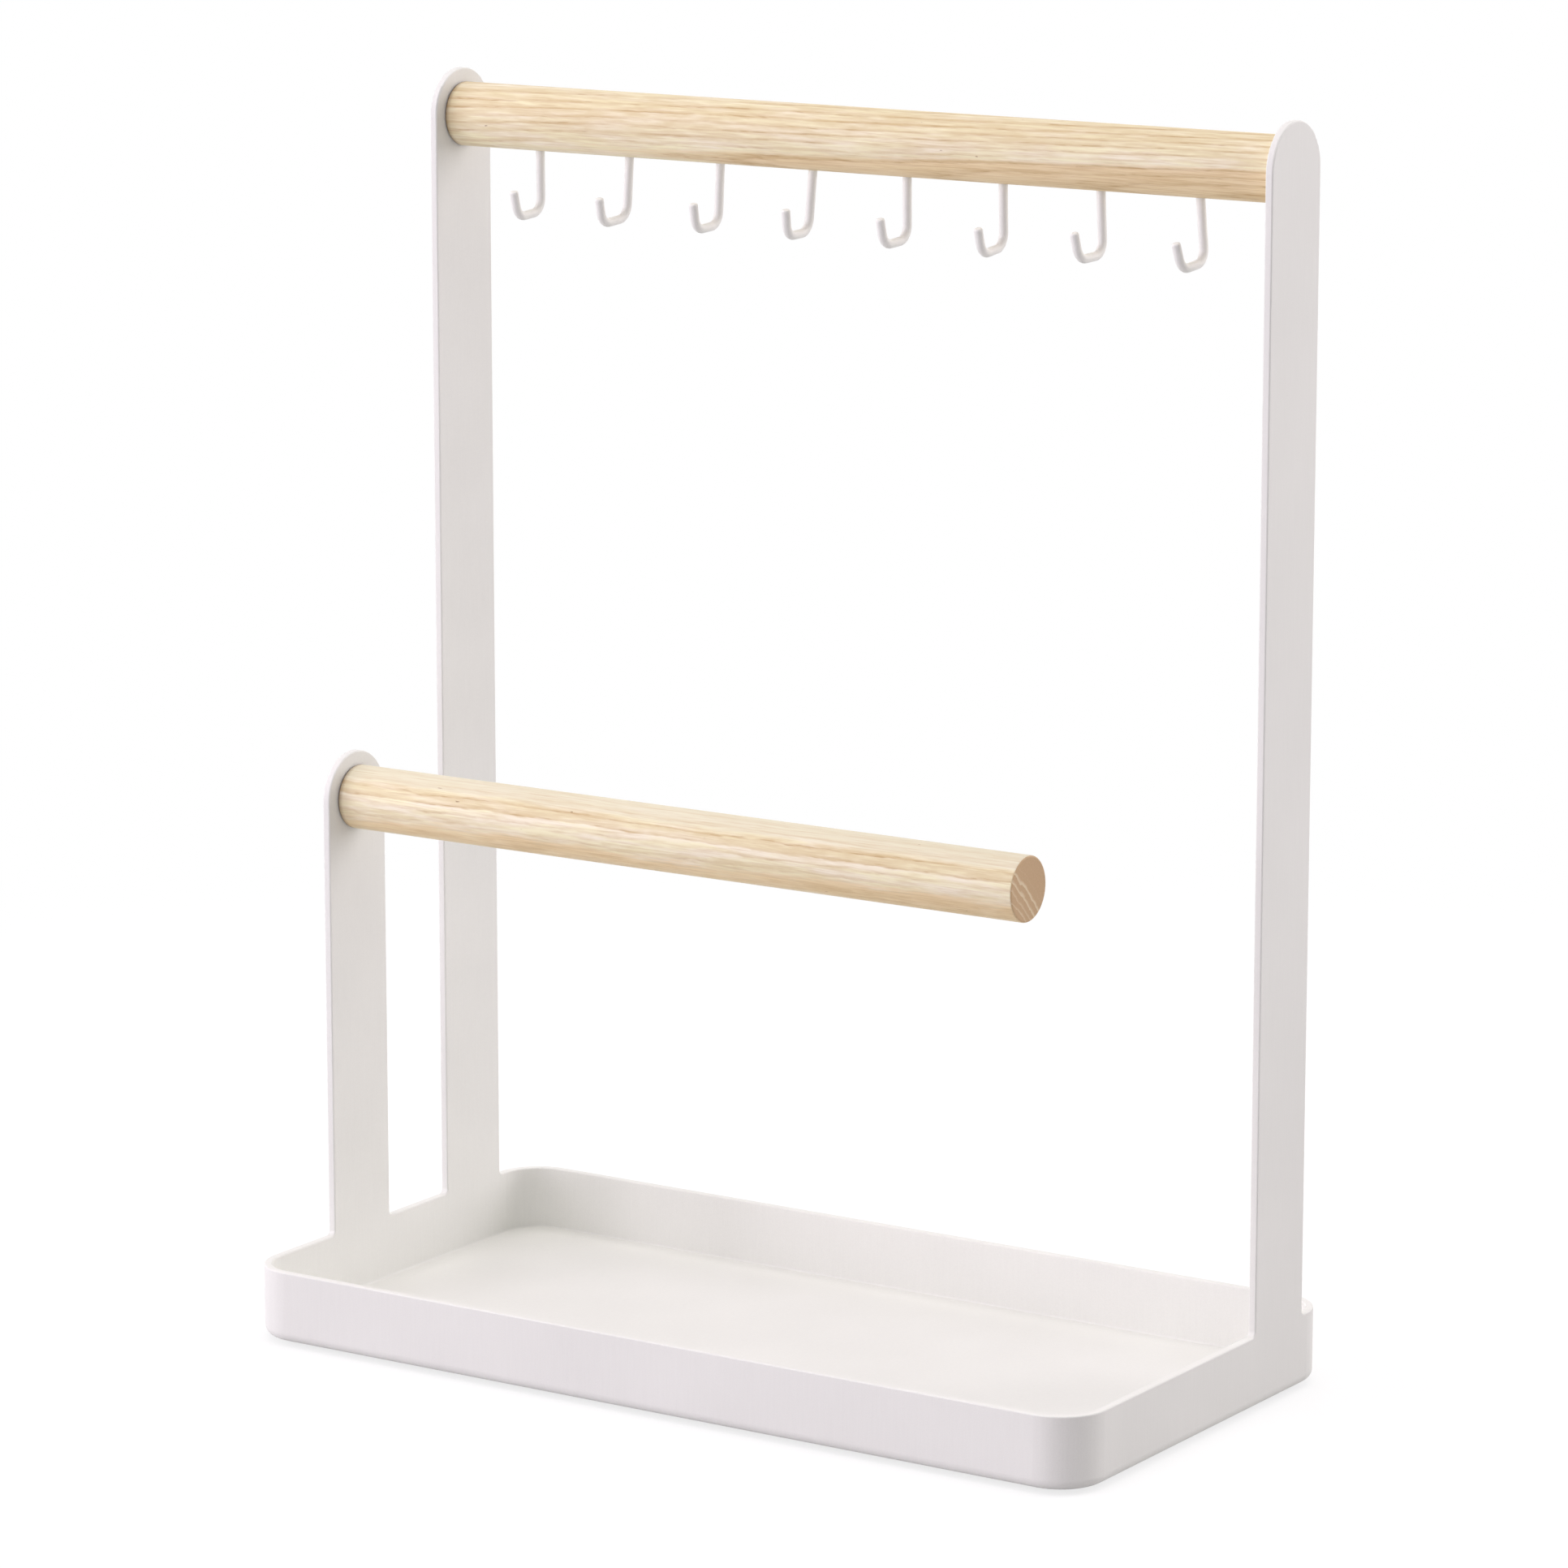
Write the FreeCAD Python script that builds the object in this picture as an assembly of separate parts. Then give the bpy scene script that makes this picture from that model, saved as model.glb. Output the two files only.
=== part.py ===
import FreeCAD, Part
import math
import os

from FreeCAD import Vector

# Two-tier jewellery stand: a shallow steel tray with three flat uprights rising flush from its
# end walls, a hook bar across the back and a shorter bar that stands free at the front.
# Millimetres. X runs along the bars, -Y is the front, +Z is up, and the origin is on the table
# under the middle of the tray.

# Tray, pressed from one sheet
tray_length = 240.0
tray_depth = 120.0
tray_height = 18.0
sheet = 2.0
corner_radius = 12.0
floor_bend_radius = 0.5
edge_ease = 0.4

# Foot pads, stuck under the tray
pad_diameter = 10.0
pad_thickness = 1.0
pad_inset = 16.0
pad_ease = 0.3

# Uprights, flat strips of the tray's own sheet with round heads
upright_width = 23.0
upright_foot_radius = 1.2
rear_rim_margin = 1.3
upright_spacing = 48.0
rear_upright_rise = 289.0
front_upright_rise = 122.5

# Bars, turned from ash
bar_diameter = 16.0
bar_ease = 0.5
lower_bar_length = 196.0

# Studs, welded to the uprights and glued into the bars
stud_diameter = 6.0
stud_clearance = 0.1
stud_tip_relief = 1.0
stud_chamfer = 0.6
lower_stud_length = 30.0
wood_beside_hook = 6.0

# Hooks, bent from round wire and set in the underside of the upper bar
hook_count = 8
hook_end_margin = 23.5
wire_diameter = 2.2
wire_bend_radius = 3.1
hook_heel_drop = 15.0
hook_reach = 11.0
hook_slope = 3.5
hook_tip_rise = 6.6
hook_tip_lean = 16.0
hook_tip_ease = 0.5
hook_embedment = 10.0
hook_clearance = 0.05
hook_tip_relief = 0.5

# Levels and places that follow from the sizes above
tray_bottom = pad_thickness
rim_level = tray_bottom + tray_height
weld_level = rim_level + upright_foot_radius
inner_face = tray_length / 2 - sheet
rear_y = tray_depth / 2 - corner_radius - rear_rim_margin - upright_foot_radius - upright_width / 2
front_y = rear_y - upright_spacing
head_radius = upright_width / 2
upper_bar_level = rim_level + rear_upright_rise - head_radius
lower_bar_level = rim_level + front_upright_rise - head_radius
upper_bar_length = 2 * inner_face
upper_stud_length = hook_end_margin - wire_diameter / 2 - wood_beside_hook
hook_pitch = (upper_bar_length - 2 * hook_end_margin) / (hook_count - 1)
hook_root_level = upper_bar_level - bar_diameter / 2

TINY = 1e-6
X_AXIS = Vector(1, 0, 0)
Z_AXIS = Vector(0, 0, 1)


def edges_at_level(shape, level):
    """Edges that lie wholly in the horizontal plane at this level."""
    return [edge for edge in shape.Edges
            if all(abs(vertex.Z - level) < TINY for vertex in edge.Vertexes)]


def rounded_block(length, depth, height, radius, base, base_radius):
    """Block centred on the Z axis, with round upright corners and a round edge below."""
    block = Part.makeBox(length, depth, height, Vector(-length / 2, -depth / 2, base))
    uprights = [edge for edge in block.Edges if abs(edge.tangentAt(edge.FirstParameter).z) > 1 - TINY]
    block = block.makeFillet(radius, uprights)
    return block.makeFillet(base_radius, edges_at_level(block, base))


def tray_pan():
    """The pressed pan before its edges are eased: one wall thickness in the floor and the sides."""
    outside = rounded_block(tray_length, tray_depth, tray_height, corner_radius,
                            tray_bottom, floor_bend_radius + sheet)
    hollow = rounded_block(tray_length - 2 * sheet, tray_depth - 2 * sheet, tray_height,
                           corner_radius - sheet, tray_bottom + sheet, floor_bend_radius)
    return outside.cut(hollow)


def upright_strip(side, y, rise):
    """Flat strip on an end wall: flared at its foot, round at its head. Side is -1 left, +1 right."""
    outer_x = side * tray_length / 2

    def point(dy, dz):
        return Vector(outer_x, y + dy, rim_level + dz)

    half = upright_width / 2
    foot = upright_foot_radius
    foot_sag = foot * (1 - math.sqrt(0.5))
    shoulder = rise - head_radius
    outline = Part.Wire([
        Part.makeLine(point(half + foot, 0), point(-half - foot, 0)),
        Part.Arc(point(-half - foot, 0), point(-half - foot_sag, foot_sag), point(-half, foot)).toShape(),
        Part.makeLine(point(-half, foot), point(-half, shoulder)),
        Part.Arc(point(-half, shoulder), point(0, rise), point(half, shoulder)).toShape(),
        Part.makeLine(point(half, shoulder), point(half, foot)),
        Part.Arc(point(half, foot), point(half + foot_sag, foot_sag), point(half + foot, 0)).toShape(),
    ])
    return Part.Face(outline).extrude(X_AXIS * (-side * sheet))


def runs_through_sheet(edge):
    """True for a short edge that goes straight from one skin of an end wall to the other."""
    step = edge.Vertexes[-1].Point - edge.Vertexes[0].Point
    return abs(abs(step.x) - sheet) < TINY and abs(step.y) < TINY and abs(step.z) < TINY


def steel_frame():
    """Tray and uprights made as one eased shape, then parted where each strip is welded on."""
    strips = [upright_strip(-1, rear_y, rear_upright_rise),
              upright_strip(1, rear_y, rear_upright_rise),
              upright_strip(-1, front_y, front_upright_rise)]
    whole = tray_pan().fuse(strips).removeSplitter()
    skin_edges = [edge for edge in whole.Edges
                  if edge.BoundBox.ZMin > rim_level - TINY and not runs_through_sheet(edge)]
    whole = whole.makeFillet(edge_ease, skin_edges)
    above_weld = Part.makeBox(2 * tray_length, 2 * tray_depth, rear_upright_rise,
                              Vector(-tray_length, -tray_depth, weld_level))
    tray = whole.cut(above_weld)
    pieces = {"tray": tray.Solids[0]}
    for strip in whole.common(above_weld).Solids:
        middle = strip.CenterOfMass
        row = "rear" if middle.y > (rear_y + front_y) / 2 else "front"
        end = "left" if middle.x < 0 else "right"
        pieces[f"{row}_{end}_upright"] = strip
    return pieces


def stud(side, y, level, length):
    """Plain stud standing on the inner face of an upright, chamfered at its free end."""
    root = Vector(side * inner_face, y, level)
    pin = Part.makeCylinder(stud_diameter / 2, length, root, X_AXIS * -side)
    tip_x = side * (inner_face - length)
    tip_edges = [edge for edge in pin.Edges
                 if all(abs(vertex.X - tip_x) < TINY for vertex in edge.Vertexes)]
    return pin.makeChamfer(stud_chamfer, tip_edges)


def stud_bore(side, y, level, length):
    """Blind bore that takes a stud, a glue gap wider and a little deeper."""
    root = Vector(side * inner_face, y, level)
    return Part.makeCylinder(stud_diameter / 2 + stud_clearance, length + stud_tip_relief,
                             root, X_AXIS * -side)


def turned_bar(start_x, length, y, level):
    """Round bar along X with both end edges eased."""
    bar = Part.makeCylinder(bar_diameter / 2, length, Vector(start_x, y, level), X_AXIS)
    rings = [edge for edge in bar.Edges if edge.isClosed()]
    return bar.makeFillet(bar_ease, rings)


def bent_path(corners, radius):
    """Straight runs through the corners, each inner corner turned by a tangent arc."""
    runs = []
    start = corners[0]
    for before, corner, after in zip(corners, corners[1:], corners[2:]):
        back = (before - corner).normalize()
        onward = (after - corner).normalize()
        half_turn = back.getAngle(onward) / 2
        tangent_length = radius / math.tan(half_turn)
        into = corner + back * tangent_length
        out_of = corner + onward * tangent_length
        to_centre = (back + onward).normalize()
        middle = corner + to_centre * (radius / math.sin(half_turn) - radius)
        runs.append(Part.makeLine(start, into))
        runs.append(Part.Arc(into, middle, out_of).toShape())
        start = out_of
    runs.append(Part.makeLine(start, corners[-1]))
    return Part.Wire(runs)


def hook(x):
    """Wire hook that faces the front: shank in the bar, stem, heel, sloping run, toe and tip."""
    slope = math.radians(hook_slope)
    lean = math.radians(hook_tip_lean)
    top = Vector(x, rear_y, hook_root_level + hook_embedment)
    heel = Vector(x, rear_y, hook_root_level - hook_heel_drop)
    toe = heel + Vector(0, -hook_reach, -hook_reach * math.tan(slope))
    tip = toe + Vector(0, -math.tan(lean), 1) * hook_tip_rise
    path = bent_path([top, heel, toe, tip], wire_bend_radius)
    section = Part.Wire(Part.makeCircle(wire_diameter / 2, top, Z_AXIS))
    wire = path.makePipeShell([section], True, False)
    tip_rim = [edge for edge in wire.Edges
               if edge.isClosed() and (edge.CenterOfMass - tip).Length < TINY]
    return wire.makeFillet(hook_tip_ease, tip_rim)


def hook_bore(x):
    """Blind hole in the underside of the upper bar for one shank."""
    below = bar_diameter / 2
    return Part.makeCylinder(wire_diameter / 2 + hook_clearance,
                             below + hook_embedment + hook_tip_relief,
                             Vector(x, rear_y, hook_root_level - below), Z_AXIS)


def foot_pad(x, y):
    """Thin round pad with an eased lower edge."""
    pad = Part.makeCylinder(pad_diameter / 2, pad_thickness, Vector(x, y, 0), Z_AXIS)
    return pad.makeFillet(pad_ease, edges_at_level(pad, 0))


def build():
    """Every piece of the stand under its own name."""
    pieces = steel_frame()

    pieces["upper_left_stud"] = stud(-1, rear_y, upper_bar_level, upper_stud_length)
    pieces["upper_right_stud"] = stud(1, rear_y, upper_bar_level, upper_stud_length)
    pieces["lower_stud"] = stud(-1, front_y, lower_bar_level, lower_stud_length)

    hook_places = [-inner_face + hook_end_margin + number * hook_pitch for number in range(hook_count)]
    bores = [hook_bore(x) for x in hook_places]
    bores += [stud_bore(side, rear_y, upper_bar_level, upper_stud_length) for side in (-1, 1)]
    pieces["upper_bar"] = turned_bar(-inner_face, upper_bar_length, rear_y, upper_bar_level).cut(bores)
    pieces["lower_bar"] = turned_bar(-inner_face, lower_bar_length, front_y, lower_bar_level).cut(
        stud_bore(-1, front_y, lower_bar_level, lower_stud_length))

    for number, x in enumerate(hook_places, start=1):
        pieces[f"hook_{number}"] = hook(x)

    pad_x = tray_length / 2 - pad_inset
    pad_y = tray_depth / 2 - pad_inset
    for row, y in (("front", -pad_y), ("rear", pad_y)):
        for end, x in (("left", -pad_x), ("right", pad_x)):
            pieces[f"{row}_{end}_pad"] = foot_pad(x, y)
    return pieces


os.makedirs("parts", exist_ok=True)
for name, shape in build().items():
    solid = shape.Solids[0]
    solid.exportStep(f"parts/{name}.step")
    print(f"{name}: {solid.Volume:.1f} mm3, {len(solid.Faces)} faces, valid {solid.isValid()}")
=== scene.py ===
# %% [markdown]
# A white steel jewellery stand with two ash bars.
# The real stand is a shallow sheet-steel tray. Flat strips rise from its end walls and carry two round
# wooden bars: a high one with eight small hooks for necklaces, and a lower, shorter one for bracelets.
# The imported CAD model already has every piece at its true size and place. This lesson loads it as a
# fixed frame and gives it what CAD does not hold: wood grain, powder coat, the small tilts of hooks
# that are set by hand, and studio light.

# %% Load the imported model
import math

import bpy
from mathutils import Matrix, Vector


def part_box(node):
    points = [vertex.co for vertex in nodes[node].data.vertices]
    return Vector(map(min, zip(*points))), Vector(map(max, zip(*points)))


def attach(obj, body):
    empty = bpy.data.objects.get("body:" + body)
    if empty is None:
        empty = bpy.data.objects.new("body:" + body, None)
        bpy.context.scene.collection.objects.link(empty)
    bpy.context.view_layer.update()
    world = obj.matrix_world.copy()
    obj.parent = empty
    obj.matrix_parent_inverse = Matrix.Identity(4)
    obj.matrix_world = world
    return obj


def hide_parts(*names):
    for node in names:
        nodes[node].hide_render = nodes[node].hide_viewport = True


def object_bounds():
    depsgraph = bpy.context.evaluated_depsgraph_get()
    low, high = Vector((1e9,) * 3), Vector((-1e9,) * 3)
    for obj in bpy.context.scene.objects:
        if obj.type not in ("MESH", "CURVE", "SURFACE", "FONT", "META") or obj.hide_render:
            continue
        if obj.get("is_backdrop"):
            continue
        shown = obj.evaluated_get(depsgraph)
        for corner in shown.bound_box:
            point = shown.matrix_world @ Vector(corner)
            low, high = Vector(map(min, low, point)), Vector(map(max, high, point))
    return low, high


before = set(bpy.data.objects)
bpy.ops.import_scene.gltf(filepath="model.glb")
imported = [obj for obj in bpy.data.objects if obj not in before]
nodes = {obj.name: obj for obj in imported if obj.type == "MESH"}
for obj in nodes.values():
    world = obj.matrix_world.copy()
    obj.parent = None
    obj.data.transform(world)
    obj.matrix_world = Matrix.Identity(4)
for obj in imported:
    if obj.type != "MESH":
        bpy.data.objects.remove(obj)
cad_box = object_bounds()
MM = 0.001


def in_mm(corners):
    """Corners in millimetres, rounded for a printed line."""
    return [[round(value / MM, 2) for value in corner] for corner in corners]


print("CAD nodes:", len(nodes), "box in mm:", in_mm(cad_box))

# %% [markdown]
# Every finish and every grown shape below is a node tree. Nodes can be placed by hand in the editor,
# but a script that reads like arithmetic is easier to follow. So one small class stands for a value
# in a tree: adding or multiplying two values adds a Math node, and node() adds any other kind.

# %% A value in a node tree


class Flow:
    """One output of a node. Arithmetic on it adds Math nodes, and node() adds a node of any kind."""

    def __init__(self, tree, socket=None):
        self.tree = tree
        self.socket = socket

    @staticmethod
    def pick(sockets, key):
        """A socket by its place in the row, or by name among those that the settings leave in use."""
        if isinstance(key, int):
            return sockets[key]
        return next(socket for socket in sockets if socket.enabled and socket.name == key)

    def node(self, kind, settings=None, inputs=None, out=0):
        """Adds a node. Its settings come first, then the value or the link of each input."""
        made = self.tree.nodes.new(kind)
        for name, value in (settings or {}).items():
            if name == "stops":
                set_stops(made.color_ramp, value)
            else:
                setattr(made, name, value)
        for key, value in (inputs or {}).items():
            socket = self.pick(made.inputs, key)
            if isinstance(value, Flow):
                self.tree.links.new(value.socket, socket)
            else:
                socket.default_value = value
        return Flow(self.tree, self.pick(made.outputs, out)) if made.outputs else None

    def other(self, out):
        """Another output of the same node."""
        return Flow(self.tree, self.pick(self.socket.node.outputs, out))

    def math(self, operation, first, second=0.0):
        """A Math node by the name of its operation."""
        return self.node("ShaderNodeMath", {"operation": operation}, {0: first, 1: second})

    def __add__(self, value):
        return self.math("ADD", self, value)

    def __radd__(self, value):
        return self.math("ADD", value, self)

    def __sub__(self, value):
        return self.math("SUBTRACT", self, value)

    def __rsub__(self, value):
        return self.math("SUBTRACT", value, self)

    def __mul__(self, value):
        return self.math("MULTIPLY", self, value)

    def __rmul__(self, value):
        return self.math("MULTIPLY", value, self)

    def __truediv__(self, value):
        return self.math("DIVIDE", self, value)

    def __rtruediv__(self, value):
        return self.math("DIVIDE", value, self)


def set_stops(ramp, stops):
    """Gives a colour ramp its stops, each a position and a grey level."""
    while len(ramp.elements) < len(stops):
        ramp.elements.new(1.0)
    for element, (position, level) in zip(ramp.elements, stops):
        element.position = position
        element.color = (level, level, level, 1.0)


print("Flow is ready: 1 - value, value * 2 and value / other all add Math nodes")

# %% [markdown]
# A pattern on a real thing has a size: powder grain is about a third of a millimetre, and growth rings
# are about two. So the patterns read Object coordinates turned into millimetres, and a noise of 3 per
# millimetre has about three grains in each. Colours are written as the eye sees them on a screen, from
# 0 to 255, and are turned into the linear values that the renderer mixes.

# %% Helpers for patterns and colours


def paint(red, green, blue):
    """A colour as it looks on a screen, as the linear colour that Blender wants."""
    parts = [level / 255 for level in (red, green, blue)]
    return (*[p / 12.92 if p <= 0.04045 else ((p + 0.055) / 1.055) ** 2.4 for p in parts], 1.0)


def object_mm(flow):
    """The place on the piece, in millimetres."""
    place = flow.node("ShaderNodeTexCoord", out="Object")
    return flow.node("ShaderNodeVectorMath", {"operation": "SCALE"}, {0: place, "Scale": 1 / MM})


def moved(place, offset):
    """The same place measured from somewhere else."""
    return place.node("ShaderNodeVectorMath", {"operation": "ADD"}, {0: place, 1: offset})


def stretched(place, factors):
    """A place whose axes are squeezed, which draws a pattern out along the axes with small factors."""
    return place.node("ShaderNodeVectorMath", {"operation": "MULTIPLY"}, {0: place, 1: factors})


def noise(place, per_mm=1.0, detail=1.0, roughness=0.5):
    """A smooth random value, near one half, with about so many swings in a millimetre."""
    values = {"Vector": place, "Scale": per_mm, "Detail": detail, "Roughness": roughness}
    return place.node("ShaderNodeTexNoise", None, values)


def soft_step(value, low, high):
    """0 below low, 1 above high, and a soft rise between."""
    values = {"Value": value, "From Min": low, "From Max": high}
    return value.node("ShaderNodeMapRange", {"interpolation_type": "SMOOTHSTEP"}, values)


def blend(factor, first, second):
    """A colour that goes from first to second with the factor."""
    values = {"Factor": factor, "A": first, "B": second}
    return factor.node("ShaderNodeMix", {"data_type": "RGBA"}, values, "Result")


def new_material(name):
    """An empty material and a start for its nodes."""
    material = bpy.data.materials.new(name)
    material.use_nodes = True
    material.node_tree.nodes.clear()
    return material, Flow(material.node_tree)


def close_surface(flow, height_mm, values):
    """Ends a material in one Principled shader, with the height as bump."""
    normal = flow.node("ShaderNodeBump", None, {"Height": height_mm, "Distance": MM})
    shader = flow.node("ShaderNodeBsdfPrincipled", None, {**values, "Normal": normal})
    flow.node("ShaderNodeOutputMaterial", None, {"Surface": shader})


print("One millimetre is", MM, "of Blender's metres")

# %% [markdown]
# The tray, the strips and the hooks are sprayed with one soft white powder coat. Powder melts into a
# satin skin that is never quite flat: it has a soft orange peel, a millimetre or so across, a fine
# grain, and faint upright marks where the walls were dressed before coating. A flat white would look
# like plastic, so four noises, from a slow cloud down to the grain, share the colour, the roughness
# and the bump.

# %% White powder coat
coat_shade = paint(226, 227, 222)
coat_white = paint(247, 248, 243)
upright_marks = (1.5, 1.5, 0.09)


def powder_coat():
    """The stand's coat. Its bumps are about a hundredth of a millimetre high."""
    material, flow = new_material("white_powder_coat")
    place = object_mm(flow)
    cloud = noise(place, per_mm=0.03)
    peel = noise(place, per_mm=0.7)
    grain = noise(place, per_mm=3.2, detail=2.0, roughness=0.6)
    dressing = noise(stretched(place, upright_marks), detail=2.0)
    tone = cloud * 0.4 + grain * 0.4 + dressing * 0.2
    close_surface(
        flow,
        peel * 0.014 + grain * 0.008 + dressing * 0.002,
        {
            "Base Color": blend(tone, coat_shade, coat_white),
            "Roughness": 0.44 + grain * 0.16,
            "Specular IOR Level": 0.3,
        },
    )
    return material


coat = powder_coat()
for name in ("tray", "rear_left_upright", "rear_right_upright", "front_left_upright"):
    nodes[name].material_slots[0].material = coat
print("Powder coat on the tray and its three strips:", len(coat.node_tree.nodes), "nodes")

# %% [markdown]
# The bars are turned from ash logs. A tree grows in rings round its pith, the middle of the log, and a
# bar is a straight piece cut out of it, so its side and its end must show the same rings. A picture
# wrapped round the bar could not do that, but a solid pattern can: a ring is a distance from the pith.
# That distance comes first. No tree is quite straight, so three noises, each quicker than the one
# before, make the rings sway, ripple and jitter.

# %% Depth in the log


def centre_mm(node):
    """The middle of a CAD node's box, in millimetres."""
    low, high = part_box(node)
    return (low + high) / (2 * MM)


def x_of(place):
    """The x of a place or of a direction, which is along the bar."""
    return place.node("ShaderNodeSeparateXYZ", None, {0: place})


def streaks(log, along, across, detail=1.0, roughness=0.5):
    """Noise with its own number of swings in a millimetre along the log and across it."""
    return noise(stretched(log, (along, across, across)), detail=detail, roughness=roughness)


def log_depth(place, log, pith_mm, climb, wander):
    """Depth in millimetres: 0 at the bar's axis, and growing from the pith towards the bark."""
    sway = streaks(log, along=0.011, across=0.04) - 0.5
    ripple = streaks(log, along=0.06, across=0.3, detail=2.0) - 0.5
    jitter = streaks(log, along=0.25, across=0.8, detail=2.0) - 0.5
    outward = stretched(moved(place, [-value for value in pith_mm]), (0.0, 1.0, 1.0))
    from_pith = place.node("ShaderNodeVectorMath", {"operation": "LENGTH"}, {0: outward}, "Value")
    depth = from_pith - math.hypot(*pith_mm) - x_of(place) * climb + sway * 2.0
    return depth + (ripple * 1.6 + jitter * 0.8) * wander


print("Middle of the high bar in mm:", [round(value, 1) for value in centre_mm("upper_bar")])

# %% [markdown]
# Ash is ring-porous: each spring the tree lays down a row of wide pores, which shows as a thin tan line,
# sharp towards the pith and fading outwards, and then a pale band of summer wood. Depth divided by the
# ring width counts the years. The fraction is the season, and a ramp over it draws the line. The whole
# part is the year, and it gives each line a strength of its own. Where the bar's skin cuts the rings
# squarely the lines are fine and even, as along the front of the high bar. Where it only grazes them, a
# little sway spreads one ring into wide broken streaks.

# %% Year rings
RAMP_MM = 17.0
RING_WIDENING = 0.03
EARLY_WOOD = ((0.0, 1.0), (0.25, 0.6), (0.5, 0.25), (0.8, 0.0), (0.94, 0.0), (1.0, 1.0))
PORE_ROW = ((0.0, 1.0), (0.15, 0.75), (0.36, 0.0), (0.82, 0.0), (1.0, 1.0))


def ramp(value, stops):
    """A grey level that follows a value from 0 to 1."""
    return value.node("ShaderNodeValToRGB", {"stops": stops}, {0: value})


def by_depth(depth, levels):
    """A level that follows the depth in the log, from levels at a few depths in millimetres."""
    stops = [(0.5 + mm / RAMP_MM, level) for mm, level in levels]
    return ramp(0.5 + depth / RAMP_MM, stops)


def year_rings(depth, log, log_number, ring_mm, ring_start, lines):
    """Three patterns: the rings on a sawn end, the early wood on a side, and its veins of pores."""
    rings = (depth - ring_start) * (1 - depth * RING_WIDENING) / ring_mm
    season = depth.math("FRACT", rings)
    year = depth.math("FLOOR", rings) + log_number
    vigour = depth.node("ShaderNodeTexWhiteNoise", {"noise_dimensions": "1D"}, {"W": year})
    fading = soft_step(streaks(log, along=0.06, across=0.7, detail=3.0, roughness=0.6), 0.34, 0.6)
    strength = by_depth(depth, lines)
    line = strength * (0.55 + 0.45 * vigour) * (0.35 + 0.65 * fading)
    early = ramp(season, EARLY_WOOD)
    return soft_step(strength * early, 0.2, 0.75), line * early, line * ramp(season, PORE_ROW)


print("A ramp by depth covers", RAMP_MM, "mm, and a ramp by season covers one year")

# %% [markdown]
# Colour goes on in layers, each over the ones before it: the pale summer wood, the yellower heartwood
# towards the pith, the tan early wood, the fibres, the veins with their pores, and a few flecks. A sawn
# end drinks more of the finish, so it is darker than a side, with pale rings. The last two layers are
# painted shade: a darker band and a dark line round the left end of a bar, where it meets its strip
# and little light gets in.

# %% Colours of ash
LOG_SPACING = 500.0
ASH = {
    "honey": paint(224, 208, 169),
    "cream": paint(247, 241, 205),
    "blush": paint(248, 240, 218),
    "bleached": paint(233, 228, 205),
    "heart": paint(239, 215, 172),
    "heart streak": paint(217, 185, 134),
    "early wood": paint(221, 200, 152),
    "fibre": paint(209, 184, 142),
    "vein": paint(201, 172, 124),
    "pore": paint(169, 127, 79),
    "fleck": paint(147, 106, 67),
    "sawn dark": paint(197, 164, 124),
    "sawn light": paint(217, 185, 144),
    "sawn ring": paint(233, 213, 178),
    # Painted shade for the joint where a bar's left end meets its strip: a band, then a darker line.
    "painted joint shade": paint(133, 100, 67),
    "painted joint shadow line": paint(84, 63, 46),
}


def ash_wood(
    name, bar_node, log_number, pith_mm, climb, wander,
    ring_mm, ring_start, lines, tones, heart_mm, bleach,
):
    """Ash for one bar. Lines and tones are levels by depth, and heartwood lies below heart_mm."""
    material, flow = new_material(name)
    place = moved(object_mm(flow), -centre_mm(bar_node))
    log = moved(place, (log_number * LOG_SPACING, 0.0, 0.0))
    depth = log_depth(place, log, pith_mm, climb, wander)
    end_rings, spring, vein = year_rings(depth, log, log_number, ring_mm, ring_start, lines)

    fibre = streaks(log, along=0.07, across=2.6, detail=3.0, roughness=0.65)
    mottle = streaks(log, along=0.15, across=1.3, detail=2.0) - 0.5
    patch = streaks(log, along=0.04, across=0.35) - 0.5
    blush = soft_step(streaks(log, along=0.06, across=0.6, detail=2.0), 0.35, 0.65)
    dashes = soft_step(streaks(log, along=0.22, across=3.2), 0.5, 0.68)
    pores = dashes * soft_step(vein, 0.15, 0.6)
    heart = 1 - soft_step(depth + (fibre - 0.5) * 3, heart_mm - 0.6, heart_mm + 0.6)
    fleck = soft_step(streaks(log, along=0.3, across=1.1), 0.79, 0.84)
    end_grain = flow.node("ShaderNodeAttribute", {"attribute_name": "end_grain"}, None, "Fac")
    sawn = blend(fibre, ASH["sawn dark"], ASH["sawn light"])
    sawn = blend(end_rings, sawn, ASH["sawn ring"])
    from_strip = x_of(place) - (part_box(bar_node)[0].x / MM - centre_mm(bar_node).x)

    summer = blend(blush, ASH["cream"], ASH["blush"])
    wood = blend(by_depth(depth, tones) + mottle * 1.7 + patch * 1.2, ASH["honey"], summer)
    layers = (
        (soft_step(depth, -0.5, 1.5) * bleach, ASH["bleached"]),
        (heart * 0.75, ASH["heart"]),
        (heart * soft_step(fibre, 0.42, 0.62) * 0.5, ASH["heart streak"]),
        (spring * 0.5, ASH["early wood"]),
        (soft_step(fibre, 0.46, 0.75) * 0.5, ASH["fibre"]),
        (vein * 0.7, ASH["vein"]),
        (pores * 0.4, ASH["pore"]),
        (fleck * 0.7, ASH["fleck"]),
        (end_grain, sawn),
        # Painted shade: the last two millimetres at the bar's left end, where it meets its strip, get
        # darker, with a dark line right at the joint.
        ((1 - soft_step(from_strip, 0.1, 1.8)) * 0.5, ASH["painted joint shade"]),
        ((1 - soft_step(from_strip, 0.1, 0.7)) * 0.75, ASH["painted joint shadow line"]),
    )
    for factor, colour in layers:
        wood = blend(factor, wood, colour)
    close_surface(
        flow,
        (1 - pores) * 0.02 + fibre * 0.01,
        {
            "Base Color": wood,
            "Roughness": 0.5 + pores * 0.2,
            "Specular IOR Level": 0.35,
        },
    )
    return material


print("Colours of ash:", len(ASH))

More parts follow.
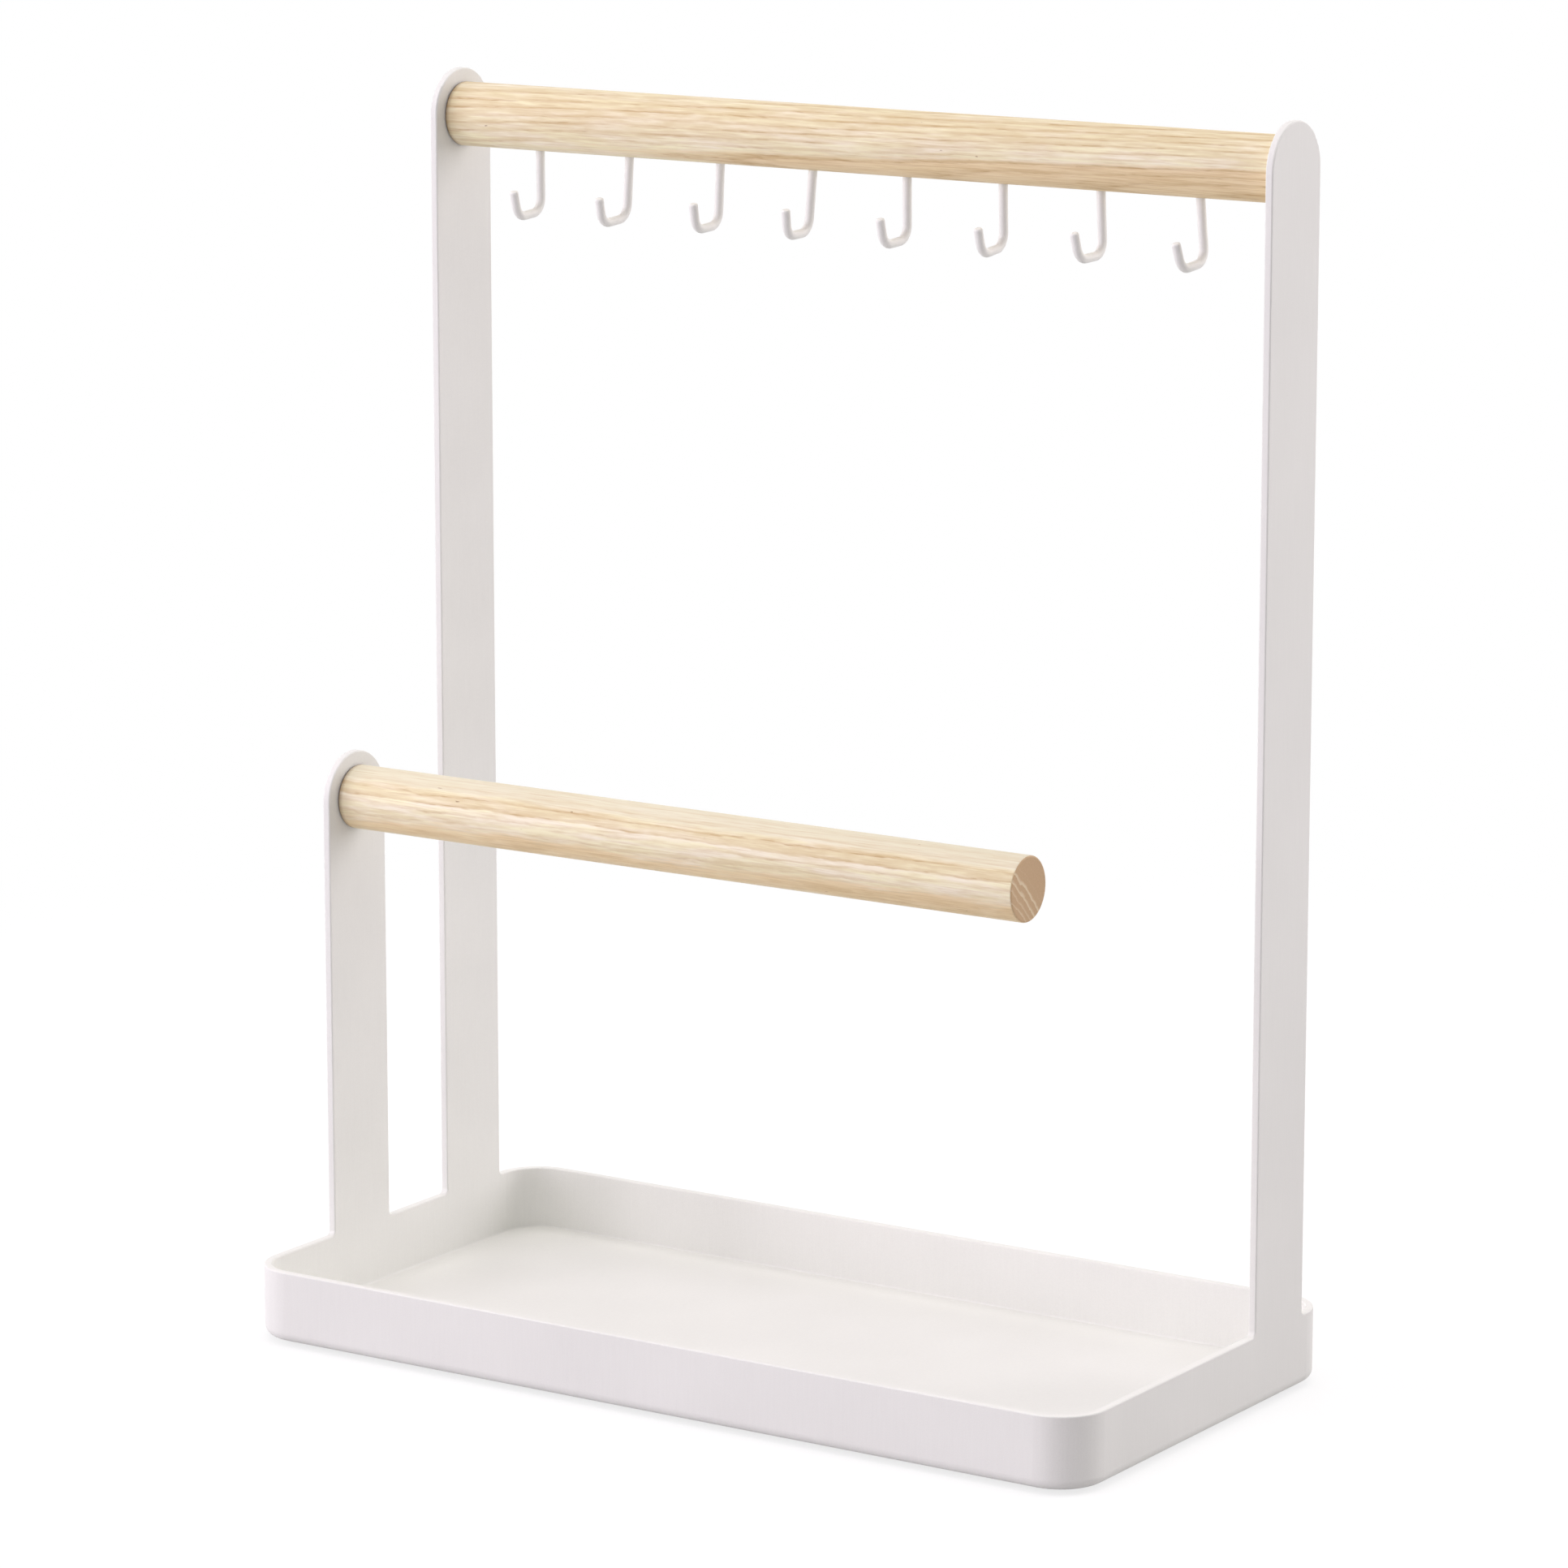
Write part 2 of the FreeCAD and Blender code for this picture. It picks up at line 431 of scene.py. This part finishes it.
# %% [markdown]
# The two bars come from different logs. The high bar has narrow rings that climb a little along it, so
# its lines run out at a slant. The low bar has wider rings that wander more, and its bark side is
# bleached. The pith of both logs lies outside the bar, in front of it and below.

# %% Two logs
upper_ash = ash_wood(
    "ash_upper",
    "upper_bar",
    log_number=1,
    pith_mm=(0.0, -34.0, -49.0),
    climb=0.022,
    wander=0.4,
    ring_mm=1.8,
    ring_start=-1.0,
    lines=((-8.0, 0.9), (-7.3, 1.5), (-6.5, 1.5), (-5.9, 0.7), (-4.0, 0.9), (8.0, 0.9)),
    tones=((-8.0, 0.6), (-6.0, 0.8), (-4.0, 0.6), (-2.0, 0.35), (1.0, 0.28), (8.0, 0.38)),
    heart_mm=-6.6,
    bleach=0.0,
)
lower_ash = ash_wood(
    "ash_lower",
    "lower_bar",
    log_number=2,
    pith_mm=(0.0, -52.0, -53.0),
    climb=0.0,
    wander=1.0,
    ring_mm=2.25,
    ring_start=-0.95,
    lines=((-8.0, 0.7), (-5.0, 0.5), (-3.6, 0.85), (-0.5, 0.85), (0.5, 0.35), (8.0, 0.2)),
    tones=((-8.0, 0.4), (-6.5, 0.8), (-3.5, 1.0), (-3.1, 0.3), (-1.2, 0.2), (-0.4, 0.5), (8.0, 0.5)),
    heart_mm=-7.2,
    bleach=0.75,
)
print("Ash for two bars:", len(upper_ash.node_tree.nodes), "nodes each")

# %% [markdown]
# Geometry Nodes grow shapes from rules. A tree gets named inputs for its sizes, the modifier on an
# object fills them in, and the evaluated result is kept as a plain mesh, because a finished part
# should not depend on a live tree. A few helpers do this for every grown piece of the stand.

# %% Helpers for grown pieces


def new_tree(name, inputs):
    """A Geometry Nodes tree with named inputs, and a Flow for each of them."""
    tree = bpy.data.node_groups.new(name, "GeometryNodeTree")
    tree.is_modifier = True
    tree.interface.new_socket("Geometry", in_out="OUTPUT", socket_type="NodeSocketGeometry")
    for label, kind in {"Geometry": "Geometry", **inputs}.items():
        tree.interface.new_socket(label, in_out="INPUT", socket_type="NodeSocket" + kind)
    entry = tree.nodes.new("NodeGroupInput")
    return tree, {socket.name: Flow(tree, socket) for socket in entry.outputs}


def close_tree(shape, material):
    """Ends a tree: instances become real faces, which get their material."""
    real = shape.node("GeometryNodeRealizeInstances", None, {"Geometry": shape})
    finished = shape.node("GeometryNodeSetMaterial", None, {"Geometry": real, "Material": material})
    shape.node("NodeGroupOutput", None, {"Geometry": finished})


def grow(name, tree, start_mesh, values):
    """Runs a tree on a mesh and keeps the result as a plain mesh piece at the origin."""
    piece = bpy.data.objects.new(name, start_mesh)
    bpy.context.scene.collection.objects.link(piece)
    modifier = piece.modifiers.new("Grown shape", "NODES")
    modifier.node_group = tree
    for item in tree.interface.items_tree:
        if item.in_out == "INPUT" and item.name in values:
            modifier[item.identifier] = values[item.name]
    evaluated = piece.evaluated_get(bpy.context.evaluated_depsgraph_get())
    plain = bpy.data.meshes.new_from_object(evaluated)
    piece.modifiers.remove(modifier)
    piece.data = plain
    return piece


def describe(piece):
    """Prints how many faces a piece has, and the box of its points."""
    axes = list(zip(*[vertex.co for vertex in piece.data.vertices]))
    box = [[min(axis) for axis in axes], [max(axis) for axis in axes]]
    print(piece.name, "faces:", len(piece.data.polygons), "box in mm:", in_mm(box))


print("Helpers are ready: new_tree, close_tree, grow and describe")

# %% [markdown]
# A bar is a turned dowel with its sharp ends eased by half a millimetre. It could be a cylinder with a
# bevel, but the rule is simple enough to write down: rings along the axis, whose radius follows a
# quarter circle at each end. The tree also marks the sawn ends and the outer part of their eased rims,
# so that the wood knows where its end grain shows.

# %% Rings of a turned bar
bar_inputs = {
    "Start": "Vector",
    "Length": "Float",
    "Radius": "Float",
    "Ease": "Float",
    "Steps": "Int",
    "Sides": "Int",
    "Wood": "Material",
}
bar_tree, bar = new_tree("Turned bar", bar_inputs)
flow = Flow(bar_tree)
steps = bar["Steps"]
ease = bar["Ease"]
ring = flow.node("GeometryNodeInputIndex")
last_ring = steps * 2 + 1
from_end = flow.math("MINIMUM", ring, last_ring - ring)
angle = from_end / steps * (math.pi / 2)
inset = ease * (1 - flow.math("COSINE", angle))
radius = bar["Radius"] - ease * (1 - flow.math("SINE", angle))
far_half = flow.math("GREATER_THAN", ring, steps)
along = inset + far_half * (bar["Length"] - inset * 2)
along = flow.node("ShaderNodeCombineXYZ", None, {"X": along})
place = flow.node("ShaderNodeVectorMath", {"operation": "ADD"}, {0: bar["Start"], 1: along})
line = flow.node("GeometryNodeCurvePrimitiveLine")
line = flow.node("GeometryNodeResampleCurve", None, {"Curve": line, "Count": last_ring + 1})
line = flow.node("GeometryNodeSetPosition", None, {"Geometry": line, "Position": place})
circle = flow.node("GeometryNodeCurvePrimitiveCircle", None, {"Resolution": bar["Sides"], "Radius": 1.0})
skin = {"Curve": line, "Profile Curve": circle, "Scale": radius, "Fill Caps": True}
turned = flow.node("GeometryNodeCurveToMesh", None, skin)
print("Turned bar so far:", len(bar_tree.nodes), "nodes")

# %% End grain of a turned bar
FLAT_END = 0.999
ACROSS_GRAIN = 0.5

facing = flow.math("ABSOLUTE", x_of(flow.node("GeometryNodeInputNormal")))
sawn_face = flow.math("GREATER_THAN", facing, FLAT_END)
across_grain = flow.math("GREATER_THAN", facing, ACROSS_GRAIN)
marks = {"Geometry": turned, "Name": "end_grain", "Value": across_grain}
turned = flow.node("GeometryNodeStoreNamedAttribute", {"data_type": "FLOAT", "domain": "FACE"}, marks)
shading = {"Geometry": turned, "Shade Smooth": 1 - sawn_face}
turned = flow.node("GeometryNodeSetShadeSmooth", {"domain": "FACE"}, shading)
close_tree(turned, bar["Wood"])
print("Turned bar, finished:", len(bar_tree.nodes), "nodes")

# %% Two turned bars
bar_ease = 0.5 * MM


def turned_bar(name, node, wood):
    """A bar in the place of a CAD bar, from the box that the CAD bar fills."""
    low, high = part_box(node)
    axis = (low + high) / 2
    sizes = {
        "Start": (low.x, axis.y, axis.z),
        "Length": high.x - low.x,
        "Radius": (high.z - low.z) / 2,
        "Ease": bar_ease,
        "Steps": 5,
        "Sides": 128,
        "Wood": wood,
    }
    piece = grow(name, bar_tree, bpy.data.meshes.new(name), sizes)
    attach(piece, "root")
    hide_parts(node)
    describe(piece)


turned_bar("upper_ash_bar", "upper_bar", upper_ash)
turned_bar("lower_ash_bar", "lower_bar", lower_ash)

# %% [markdown]
# The eight hooks are bent from coated wire and glued into the underside of the high bar. Modelling one
# and copying it would do, but real hooks are set by hand: each leans or turns a little. So one tree
# bends a wire along its path, rounds the bends, and sets it on eight points that carry their own tilt.
# The legs of the path are added one by one: down, forward, and up again to the tip.

# %% Path and wire of a hook
hook_inputs = {
    "Wire radius": "Float",
    "Bend radius": "Float",
    "Embedment": "Float",
    "Heel drop": "Float",
    "Reach": "Float",
    "Toe fall": "Float",
    "Tip rise": "Float",
    "Tip lean": "Float",
    "Bend steps": "Int",
    "Sides": "Int",
    "Coat": "Material",
}
hook_tree, hook = new_tree("Bent hook row", hook_inputs)
flow = Flow(hook_tree)
corner = flow.node("GeometryNodeInputIndex")
down, forward, upward = [flow.math("GREATER_THAN", corner, leg + 0.5) for leg in range(3)]
run = forward * hook["Reach"] + upward * hook["Tip lean"]
stem = hook["Embedment"] + hook["Heel drop"]
drop = down * stem + forward * hook["Toe fall"] - upward * hook["Tip rise"]
place = flow.node("ShaderNodeCombineXYZ", None, {"Y": 0 - run, "Z": hook["Embedment"] - drop})
line = flow.node("GeometryNodeCurvePrimitiveLine")
line = flow.node("GeometryNodeResampleCurve", None, {"Curve": line, "Count": 4})
line = flow.node("GeometryNodeSetPosition", None, {"Geometry": line, "Position": place})
bends = {"Curve": line, "Count": hook["Bend steps"], "Radius": hook["Bend radius"]}
line = flow.node("GeometryNodeFilletCurve", {"mode": "POLY"}, bends)
circle_sizes = {"Resolution": hook["Sides"], "Radius": hook["Wire radius"]}
circle = flow.node("GeometryNodeCurvePrimitiveCircle", None, circle_sizes)
skin = {"Curve": line, "Profile Curve": circle, "Fill Caps": True}
wire = flow.node("GeometryNodeCurveToMesh", None, skin)
wire = flow.node("GeometryNodeSetShadeSmooth", None, {"Geometry": wire, "Shade Smooth": True})
print("Bent hook so far:", len(hook_tree.nodes), "nodes")

# %% Points that carry a tilt
# Degrees, from the left hook to the right one: nod about x, lean about y and turn about z.
hook_tilts = {
    "nod": (-0.7, -0.3, -2.4, -3.5, -1.4, 1.2, -2.0, 1.1),
    "lean": (-0.9, 2.9, 1.0, 2.8, -1.2, -0.4, -3.7, -4.3),
    "turn": (3.9, 1.0, 4.3, 5.4, 1.6, 3.2, 0.0, 0.1),
}
tilts = [flow.node("GeometryNodeInputNamedAttribute", None, {"Name": name}) for name in hook_tilts]
euler = flow.node("ShaderNodeCombineXYZ", None, dict(zip("XYZ", tilts)))
setting = flow.node("FunctionNodeEulerToRotation", None, {"Euler": euler})
row = {"Points": hook["Geometry"], "Instance": wire, "Rotation": setting}
close_tree(flow.node("GeometryNodeInstanceOnPoints", None, row), hook["Coat"])

hook_nodes = [f"hook_{count}" for count in range(1, 9)]
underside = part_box("upper_bar")[0].z
stem_y = centre_mm("upper_bar").y * MM
roots = [(centre_mm(name).x * MM, stem_y, underside) for name in hook_nodes]
root_points = bpy.data.meshes.new("hook_roots")
root_points.from_pydata(roots, [], [])
for name, degrees in hook_tilts.items():
    values = root_points.attributes.new(name, "FLOAT", "POINT").data
    values.foreach_set("value", [math.radians(value) for value in degrees])
print("Hook roots:", len(roots), "from", in_mm(roots)[0], "to", in_mm(roots)[-1], "mm")

# %% Hook row
hook_low, hook_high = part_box("hook_1")
reach = 11.0 * MM
toe_slope = math.radians(3.5)
tip_rise = 6.6 * MM
tip_slant = math.radians(16.0)
hook_sizes = {
    "Wire radius": (hook_high.x - hook_low.x) / 2,
    "Bend radius": 3.8 * MM,
    "Embedment": hook_high.z - underside,
    "Heel drop": 15.0 * MM,
    "Reach": reach,
    "Toe fall": reach * math.tan(toe_slope),
    "Tip rise": tip_rise,
    "Tip lean": tip_rise * math.tan(tip_slant),
    "Bend steps": 10,
    "Sides": 24,
    "Coat": coat,
}
hook_row = grow("hook_row", hook_tree, root_points, hook_sizes)
tip_ease = hook_row.modifiers.new("Rounded tips", "BEVEL")
tip_ease.width = 0.5 * MM
tip_ease.segments = 4
tip_ease.limit_method = "ANGLE"
tip_ease.angle_limit = math.radians(60)
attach(hook_row, "root")
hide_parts(*hook_nodes)
describe(hook_row)

# %% [markdown]
# Wherever a bar meets a strip, a short steel stud inside the bar's end holds it. Under the tray four soft
# pads keep the steel off the table. Their CAD shapes are right, so they only get their finish: steel
# with fine rings left by the lathe, and pads with a dull, slightly uneven skin.

# %% Studs and pads
lathe_marks = (6.0, 0.15, 0.15)
steel_shade = paint(176, 177, 180)
steel_light = paint(212, 212, 214)
rubber_shade = paint(214, 214, 210)
rubber_light = paint(236, 236, 233)


def turned_steel():
    """Bright steel with fine rings across its length."""
    material, flow = new_material("turned_steel")
    lathe_rings = noise(stretched(object_mm(flow), lathe_marks), detail=2.0)
    close_surface(
        flow,
        lathe_rings * 0.01,
        {
            "Base Color": blend(lathe_rings, steel_shade, steel_light),
            "Roughness": 0.22 + lathe_rings * 0.2,
            "Metallic": 1.0,
        },
    )
    return material


def soft_rubber():
    """Dull grey-white rubber."""
    material, flow = new_material("soft_rubber")
    skin = noise(object_mm(flow), per_mm=1.8, detail=3.0, roughness=0.6)
    close_surface(
        flow,
        skin * 0.02,
        {
            "Base Color": blend(skin, rubber_shade, rubber_light),
            "Roughness": 0.55 + skin * 0.2,
        },
    )
    return material


for ending, material in (("_stud", turned_steel()), ("_pad", soft_rubber())):
    dressed = [name for name in nodes if name.endswith(ending)]
    for name in dressed:
        nodes[name].material_slots[0].material = material
    print(material.name, "on", dressed)

# %% [markdown]
# The stand was photographed on plain white. A white floor that only reflects lamps would need so much
# light that the coat burns out, so the floor glows a little for the rays that look at it, reaches
# pure white at that level, and keeps a soft shadow under the tray. Light that bounces from it onto the
# stand comes from an ordinary pale floor. The world does the same: white to look at, dimmer as light.

# %% Floor


def grey(level):
    """A neutral linear colour."""
    return (level, level, level, 1.0)


def seen_directly(flow):
    """1 for rays that look at a thing or at its mirror image, 0 for rays that only gather light."""
    camera = flow.node("ShaderNodeLightPath", out="Is Camera Ray")
    glossy = camera.other("Is Glossy Ray")
    through = camera.other("Is Transmission Ray")
    return flow.math("MAXIMUM", flow.math("MAXIMUM", camera, glossy), through)


def floor_finish(bounce, glow, shadow_depth, fade):
    """White to the eye, with shadows near the stand and none beyond the fade distances in metres."""
    material, flow = new_material("white_floor")
    place = flow.node("ShaderNodeTexCoord", out="Object")
    away = flow.node("ShaderNodeVectorMath", {"operation": "LENGTH"}, {0: place}, "Value")
    pale = flow.node("ShaderNodeBsdfDiffuse", None, {"Color": grey(bounce)})
    faint = flow.node("ShaderNodeBsdfDiffuse", None, {"Color": grey(shadow_depth)})
    glowing = flow.node("ShaderNodeEmission", None, {"Strength": glow})
    near = flow.node("ShaderNodeAddShader", None, {0: faint, 1: glowing})
    white = flow.node("ShaderNodeEmission", None, {"Strength": 1.0})
    shown = flow.node("ShaderNodeMixShader", None, {0: soft_step(away, *fade), 1: near, 2: white})
    surface = flow.node("ShaderNodeMixShader", None, {0: seen_directly(flow), 1: pale, 2: shown})
    flow.node("ShaderNodeOutputMaterial", None, {"Surface": surface})
    return material


floor_half = 6.0
floor_level = cad_box[0].z - 0.1 * MM
square = ((-1, -1), (1, -1), (1, 1), (-1, 1))
floor_corners = [(x * floor_half, y * floor_half, floor_level) for x, y in square]
floor_mesh = bpy.data.meshes.new("floor")
floor_mesh.from_pydata(floor_corners, [], [(0, 1, 2, 3)])
floor_mesh.materials.append(floor_finish(bounce=0.56, glow=0.76, shadow_depth=0.26, fade=(0.22, 0.6)))
floor = bpy.data.objects.new("floor", floor_mesh)
bpy.context.scene.collection.objects.link(floor)
floor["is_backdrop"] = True
print("Floor at", round(floor_level / MM, 2), "mm,", 2 * floor_half, "m wide")

# %% World
ambient = 0.26
ambient_tint = (1.0, 0.95, 1.0, 1.0)

world = bpy.data.worlds.new("white_studio")
world.use_nodes = True
world.node_tree.nodes.clear()
flow = Flow(world.node_tree)
white = flow.node("ShaderNodeBackground", None, {"Color": grey(1.0), "Strength": 1.0})
dim = flow.node("ShaderNodeBackground", None, {"Color": ambient_tint, "Strength": ambient})
backdrop = flow.node("ShaderNodeMixShader", None, {0: seen_directly(flow), 1: dim, 2: white})
flow.node("ShaderNodeOutputWorld", None, {"Surface": backdrop})
bpy.context.scene.world = world
print("Ambient light", ambient)

# %% [markdown]
# White things are shaped by soft lamps. Three side lamps of nearly equal strength keep the sides from
# going grey or burning out. Two of them stand in front and at the left, and light the long wall and the
# left sides. The third stands behind on the right, for the right sides of the strips. None of the three
# faces the near corner, so that bend is a darker band. A wide lamp far overhead lights the tray's floor,
# and its distance keeps the high bar from getting much more of it than the floor does. Slight tints,
# cool in front and warm behind, keep the whites apart.

# %% Softboxes
middle = (cad_box[0] + cad_box[1]) / 2


def softbox(name, azimuth, elevation, distance, size, watts, colour):
    """A square soft lamp that faces the stand. Azimuth 0 is in front, and 90 is at the right."""
    lamp = bpy.data.lights.new(name, "AREA")
    lamp.shape = "SQUARE"
    lamp.size = size
    lamp.energy = watts
    lamp.color = colour
    turn = math.radians(azimuth)
    lift = math.radians(elevation)
    away = Vector((math.sin(turn) * math.cos(lift), -math.cos(turn) * math.cos(lift), math.sin(lift)))
    stand = bpy.data.objects.new(name, lamp)
    stand.location = middle + away * distance
    stand.rotation_mode = "QUATERNION"
    stand.rotation_quaternion = away.to_track_quat("Z", "Y")
    bpy.context.scene.collection.objects.link(stand)
    print(name, "at", [round(value, 2) for value in stand.location], "m,", watts, "W")


softbox(
    "front", azimuth=-22.0, elevation=14.0, distance=2.0,
    size=1.8, watts=18.6, colour=(0.965, 0.88, 1.0),
)
softbox(
    "left", azimuth=-62.0, elevation=10.0, distance=2.0,
    size=1.6, watts=22.5, colour=(0.97, 0.905, 0.99),
)
softbox(
    "rear_right", azimuth=138.0, elevation=20.0, distance=2.0,
    size=1.6, watts=23.4, colour=(1.0, 0.935, 0.965),
)
softbox(
    "overhead", azimuth=0.0, elevation=89.0, distance=4.5,
    size=4.0, watts=121.0, colour=(0.99, 0.945, 0.935),
)

# %% [markdown]
# The photograph was taken from the front right, a little above the high bar, with a long lens: upright
# edges stay nearly parallel. The place, the angle and the lens below come from matching the stand's
# edges to the picture, so the render can be laid over it.

# %% Camera
view_azimuth = math.radians(33.27)
view_drop = math.radians(11.59)

camera_data = bpy.data.cameras.new("camera")
camera_data.sensor_width = 36.0
camera_data.lens = 150.6
camera = bpy.data.objects.new("camera", camera_data)
camera.location = (0.8516, -1.2973, 0.4622)
camera.rotation_euler = (math.pi / 2 - view_drop, 0.0, view_azimuth)
bpy.context.scene.collection.objects.link(camera)
bpy.context.scene.camera = camera
bpy.context.scene.view_settings.view_transform = "Standard"
print("Camera at", in_mm([camera.location])[0], "mm, lens", round(camera_data.lens, 1), "mm")

# %% [markdown]
# Blender should not change the stand's size: the box of everything that renders is printed, to set beside
# the CAD box from the start.

# %% Box of the visual model
seen_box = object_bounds()
print("Visual box in mm:", in_mm(seen_box))
